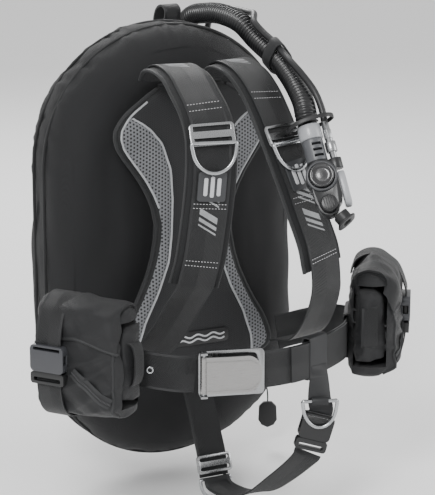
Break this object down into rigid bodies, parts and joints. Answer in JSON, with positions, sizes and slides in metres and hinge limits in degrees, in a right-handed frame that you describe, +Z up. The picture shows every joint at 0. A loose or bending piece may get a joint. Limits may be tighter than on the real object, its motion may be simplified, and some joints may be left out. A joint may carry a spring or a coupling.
{
  "type": "buoyancy compensator vest",
  "caption": "Back-inflation dive vest: oval air cell, padded backplate, webbing harness with steel rings and buckles, weight pockets, corrugated hose and power inflator.",
  "frame": {"origin": "on the axis of the air cylinder held by the tank band, at the band's mid height", "axes": "+Z up along the cylinder, -Y towards the wearer's back and the front of the vest, +X towards the wearer's left"},
  "size_m": [0.5864, 0.4965, 0.6731],
  "materials": {
    "cell_cordura": "matte black nylon cordura",
    "bladder_film": "polyurethane film",
    "plate_plastic": "matte black glass-filled nylon",
    "air_mesh": "grey spacer mesh with black binding",
    "webbing": "black ribbed polyester webbing",
    "strap_pad": "black padded nylon",
    "stainless": "brushed stainless steel",
    "pocket_nylon": "black nylon",
    "clip_grey": "dark grey acetal",
    "clip_black": "black acetal",
    "hose_rubber": "black rubber",
    "feed_rubber": "black rubber",
    "silver_plastic": "silver painted plastic",
    "grey_plastic": "grey plastic",
    "inflator_black": "black plastic",
    "button_gloss": "gloss black plastic",
    "chromed_brass": "chromed brass",
    "soft_rubber": "soft black rubber",
    "cord": "thin braided cord"
  },
  "bodies": {
    "harness": {"air_cell_shell": "cell_cordura", "air_bladder": "bladder_film", "backplate": "plate_plastic", "back_pad": "air_mesh", "tank_band": "webbing", "tank_buckle_frame": "stainless", "tank_buckle_pin": "stainless", "grab_handle": "webbing", "shoulder_pad_right": "strap_pad", "shoulder_webbing_right": "webbing", "shoulder_slider_right": "stainless", "shoulder_pad_left": "strap_pad", "shoulder_webbing_left": "webbing", "shoulder_slider_left": "stainless", "waist_belt_right": "webbing", "waist_belt_left": "webbing", "waist_buckle_frame": "stainless", "waist_buckle_pin": "stainless", "pocket_right": "pocket_nylon", "pocket_socket_right": "clip_grey", "pocket_strap_right": "webbing", "pocket_left": "pocket_nylon", "pocket_socket_left": "clip_grey", "pocket_strap_left": "webbing", "crotch_strap_rear": "webbing", "crotch_slide": "stainless", "crotch_strap_front": "webbing", "crotch_socket": "clip_black", "crotch_belt_loop": "webbing", "hose_elbow": "plate_plastic", "elbow_flange": "plate_plastic", "corrugated_hose": "hose_rubber", "feed_hose": "feed_rubber", "feed_hose_fitting": "chromed_brass", "hose_keeper": "webbing", "hose_cuff": "silver_plastic", "inflator_cage": "grey_plastic", "inflator_body": "inflator_black", "inflator_cover": "silver_plastic", "mouthpiece": "soft_rubber", "hose_coupling": "chromed_brass", "retaining_ring": "soft_rubber", "dump_valve": "plate_plastic", "dump_cord": "cord"},
    "waist_lever": {"waist_buckle_lever": "stainless"},
    "tank_lever": {"tank_buckle_lever": "stainless"},
    "inflate_button": {"inflate_button": "button_gloss"},
    "deflate_button": {"deflate_button": "inflator_black"},
    "coupling_collar": {"coupling_collar": "chromed_brass"},
    "ring_right": {"shoulder_ring_right": "stainless"},
    "ring_left": {"shoulder_ring_left": "stainless"},
    "crotch_ring_front": {"crotch_ring_front": "stainless"},
    "crotch_ring_rear": {"crotch_ring_rear": "stainless"},
    "pocket_plug_right": {"pocket_plug_right": "clip_black"},
    "pocket_plug_left": {"pocket_plug_left": "clip_black"},
    "crotch_plug": {"crotch_plug": "clip_black"},
    "weight_pouch_right": {"weight_pouch_right": "pocket_nylon"},
    "weight_pouch_left": {"weight_pouch_left": "pocket_nylon"},
    "dump_toggle": {"dump_toggle": "soft_rubber"},
    "dump_plunger": {"dump_plunger": "inflator_black"}
  },
  "joints": [
    {"name": "waist_lever_open", "type": "hinge", "parent": "harness", "child": "waist_lever", "pos_m": [-0.08815, -0.32082, -0.141], "axis": [0, 0, -1], "range_deg": [0, 85]},
    {"name": "tank_lever_open", "type": "hinge", "parent": "harness", "child": "tank_lever", "pos_m": [0.03, 0.0978, 0], "axis": [0, 0, -1], "range_deg": [0, 100]},
    {"name": "inflate_press", "type": "slide", "parent": "harness", "child": "inflate_button", "axis": [0.467, 0.7638, -0.4456], "range_m": [0, 0.003], "stiffness_N_per_m": 400, "springref_m": -0.004},
    {"name": "deflate_press", "type": "slide", "parent": "harness", "child": "deflate_button", "axis": [0.467, 0.7638, -0.4456], "range_m": [0, 0.0035], "stiffness_N_per_m": 300, "springref_m": -0.004},
    {"name": "collar_pull", "type": "slide", "parent": "harness", "child": "coupling_collar", "axis": [0, 0.5039, 0.8638], "range_m": [0, 0.004], "stiffness_N_per_m": 500, "springref_m": -0.003},
    {"name": "ring_right_swing", "type": "hinge", "parent": "harness", "child": "ring_right", "pos_m": [-0.0653, -0.3072, 0.1633], "axis": [-0.9738, 0.2271, 0.0084], "range_deg": [0, 150]},
    {"name": "ring_left_swing", "type": "hinge", "parent": "harness", "child": "ring_left", "pos_m": [0.0529, -0.2958, 0.1532], "axis": [-0.968, -0.2473, -0.0434], "range_deg": [0, 12]},
    {"name": "crotch_ring_front_swing", "type": "hinge", "parent": "harness", "child": "crotch_ring_front", "pos_m": [0.079, -0.3372, -0.197], "axis": [-0.9312, 0.3644, 0], "range_deg": [0, 140]},
    {"name": "crotch_ring_rear_swing", "type": "hinge", "parent": "harness", "child": "crotch_ring_rear", "pos_m": [0, -0.187, -0.341], "axis": [1, 0, 0], "range_deg": [-35, 80]},
    {"name": "pocket_plug_right_release", "type": "slide", "parent": "harness", "child": "pocket_plug_right", "axis": [0, 0, -1], "range_m": [0, 0.026]},
    {"name": "pocket_plug_left_release", "type": "slide", "parent": "harness", "child": "pocket_plug_left", "axis": [0, 0, -1], "range_m": [0, 0.026]},
    {"name": "crotch_plug_release", "type": "slide", "parent": "harness", "child": "crotch_plug", "axis": [-0.2401, 0.1401, -0.9606], "range_m": [0, 0.026], "deforming": ["crotch_strap_front"]},
    {"name": "weight_pouch_right_pull", "type": "slide", "parent": "harness", "child": "weight_pouch_right", "axis": [0.5592, -0.829, 0], "range_m": [0, 0.09]},
    {"name": "weight_pouch_left_pull", "type": "slide", "parent": "harness", "child": "weight_pouch_left", "axis": [-0.5592, -0.829, 0], "range_m": [0, 0.09]},
    {"name": "dump_toggle_pull", "type": "slide", "parent": "harness", "child": "dump_toggle", "axis": [0, 0, -1], "range_m": [0, 0.012], "stiffness_N_per_m": 60, "springref_m": -0.012},
    {"name": "dump_plunger_lift", "type": "slide", "parent": "harness", "child": "dump_plunger", "axis": [0, 1, 0], "range_m": [0, 0.003]}
  ],
  "couplings": [
    {"joint": "dump_plunger_lift", "follows": "dump_toggle_pull", "ratio": 0.25}
  ]
}
